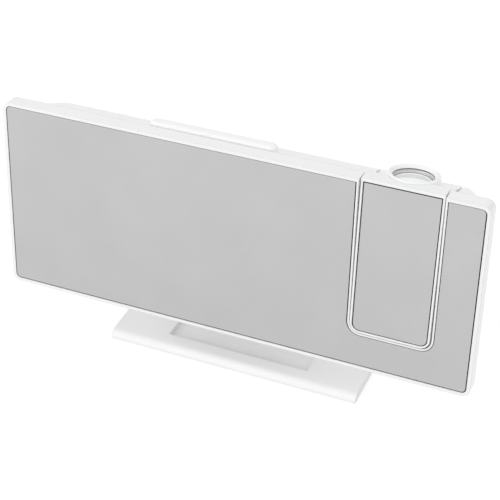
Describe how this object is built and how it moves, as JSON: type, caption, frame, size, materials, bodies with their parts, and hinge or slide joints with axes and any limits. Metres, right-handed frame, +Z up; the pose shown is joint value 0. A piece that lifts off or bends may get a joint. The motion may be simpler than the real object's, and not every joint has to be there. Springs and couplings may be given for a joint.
{
  "type": "projection alarm clock",
  "caption": "Wide mirror-faced alarm clock on a low rectangular stand, with a swinging projector arm, a focus ring, a snooze bar and back buttons.",
  "frame": {"origin": "on the table, under the middle of the clock's bounding box", "axes": "+X along the clock to the viewer's right, -Y towards the viewer, +Z up"},
  "size_m": [0.2042, 0.05, 0.1028],
  "materials": {
    "white_plastic": "fine satin gloss",
    "mirror": "polished half mirror on acrylic",
    "grey_plastic": "matte",
    "black_plastic": "matte",
    "barrel_plastic": "satin",
    "switch_black": "matte",
    "diffuser": "frosted",
    "reflector": "gloss",
    "circuit_board": "satin",
    "led": "satin",
    "bush_nylon": "satin",
    "clear_lens": "polished",
    "image_slide": "polished",
    "nickel_steel": "nickel plated",
    "steel": "plated",
    "aluminium": "satin",
    "rubber": "matte"
  },
  "bodies": {
    "clock_body": {"front_bezel": "white_plastic", "rear_casing": "white_plastic", "cell_door": "white_plastic", "stand_plate": "white_plastic", "stand_neck": "white_plastic", "mirror_panel": "mirror", "display_diffuser": "diffuser", "display_reflector": "reflector", "display_board": "circuit_board", "display_leds": "led", "cell_tray": "black_plastic", "coin_cell": "nickel_steel", "cell_door_screw": "steel", "snooze_board": "circuit_board", "snooze_switch": "switch_black", "button_board": "circuit_board", "button_switches": "switch_black", "main_board": "circuit_board", "board_header": "black_plastic", "clock_chip": "black_plastic", "buzzer": "black_plastic", "power_outlet": "nickel_steel", "power_inlet": "nickel_steel", "hinge_bush_left": "bush_nylon", "hinge_bush_right": "bush_nylon", "friction_washer_left": "rubber", "friction_washer_right": "rubber", "rubber_feet": "rubber", "stand_screws": "steel", "case_screws": "steel"},
    "projector_arm": {"arm_front_frame": "white_plastic", "arm_mirror": "mirror", "arm_rear_shell": "white_plastic", "arm_screws": "steel", "lens_barrel": "barrel_plastic", "lamp_housing": "black_plastic", "image_slide": "image_slide", "condenser_lens": "clear_lens", "projector_led": "led", "projector_board": "circuit_board", "heat_sink": "aluminium", "hinge_pin_left": "steel", "hinge_pin_right": "steel"},
    "focus_ring": {"focus_ring": "white_plastic"},
    "lens_carrier": {"lens_cell": "barrel_plastic", "projection_lens": "clear_lens"},
    "snooze_bar": {"snooze_bar": "white_plastic"},
    "set_button": {"set_button": "grey_plastic"},
    "alarm_button": {"alarm_button": "grey_plastic"},
    "down_button": {"down_button": "grey_plastic"},
    "up_button": {"up_button": "grey_plastic"},
    "projector_button": {"projector_button": "grey_plastic"},
    "dimmer_button": {"dimmer_button": "grey_plastic"}
  },
  "joints": [
    {"name": "arm_hinge", "type": "hinge", "parent": "clock_body", "child": "projector_arm", "pos_m": [0.0681, -0.00536, 0.06711], "axis": [1, 0, 0], "range_deg": [-88.3, 91.7]},
    {"name": "focus_turn", "type": "hinge", "parent": "projector_arm", "child": "focus_ring", "pos_m": [0.0681, -0.00135, 0.10068], "axis": [0, 0.2215, 0.9751], "range_deg": [-100, 100]},
    {"name": "lens_slide", "type": "slide", "parent": "projector_arm", "child": "lens_carrier", "axis": [0, 0.2215, 0.9751], "range_m": [-0.00075, 0.00075]},
    {"name": "snooze_press", "type": "slide", "parent": "clock_body", "child": "snooze_bar", "axis": [0, -0.1097, -0.994], "range_m": [0, 0.0012], "stiffness_N_per_m": 600, "springref_m": -0.0008},
    {"name": "set_press", "type": "slide", "parent": "clock_body", "child": "set_button", "axis": [0, -0.994, 0.1097], "range_m": [0, 0.0008], "stiffness_N_per_m": 600, "springref_m": -0.0008},
    {"name": "alarm_press", "type": "slide", "parent": "clock_body", "child": "alarm_button", "axis": [0, -0.994, 0.1097], "range_m": [0, 0.0008], "stiffness_N_per_m": 600, "springref_m": -0.0008},
    {"name": "down_press", "type": "slide", "parent": "clock_body", "child": "down_button", "axis": [0, -0.994, 0.1097], "range_m": [0, 0.0008], "stiffness_N_per_m": 600, "springref_m": -0.0008},
    {"name": "up_press", "type": "slide", "parent": "clock_body", "child": "up_button", "axis": [0, -0.994, 0.1097], "range_m": [0, 0.0008], "stiffness_N_per_m": 600, "springref_m": -0.0008},
    {"name": "projector_press", "type": "slide", "parent": "clock_body", "child": "projector_button", "axis": [0, -0.994, 0.1097], "range_m": [0, 0.0008], "stiffness_N_per_m": 600, "springref_m": -0.0008},
    {"name": "dimmer_press", "type": "slide", "parent": "clock_body", "child": "dimmer_button", "axis": [0, -0.994, 0.1097], "range_m": [0, 0.0008], "stiffness_N_per_m": 600, "springref_m": -0.0008}
  ],
  "couplings": [
    {"joint": "focus_turn", "follows": "lens_slide", "rad_per_m": 2327}
  ]
}
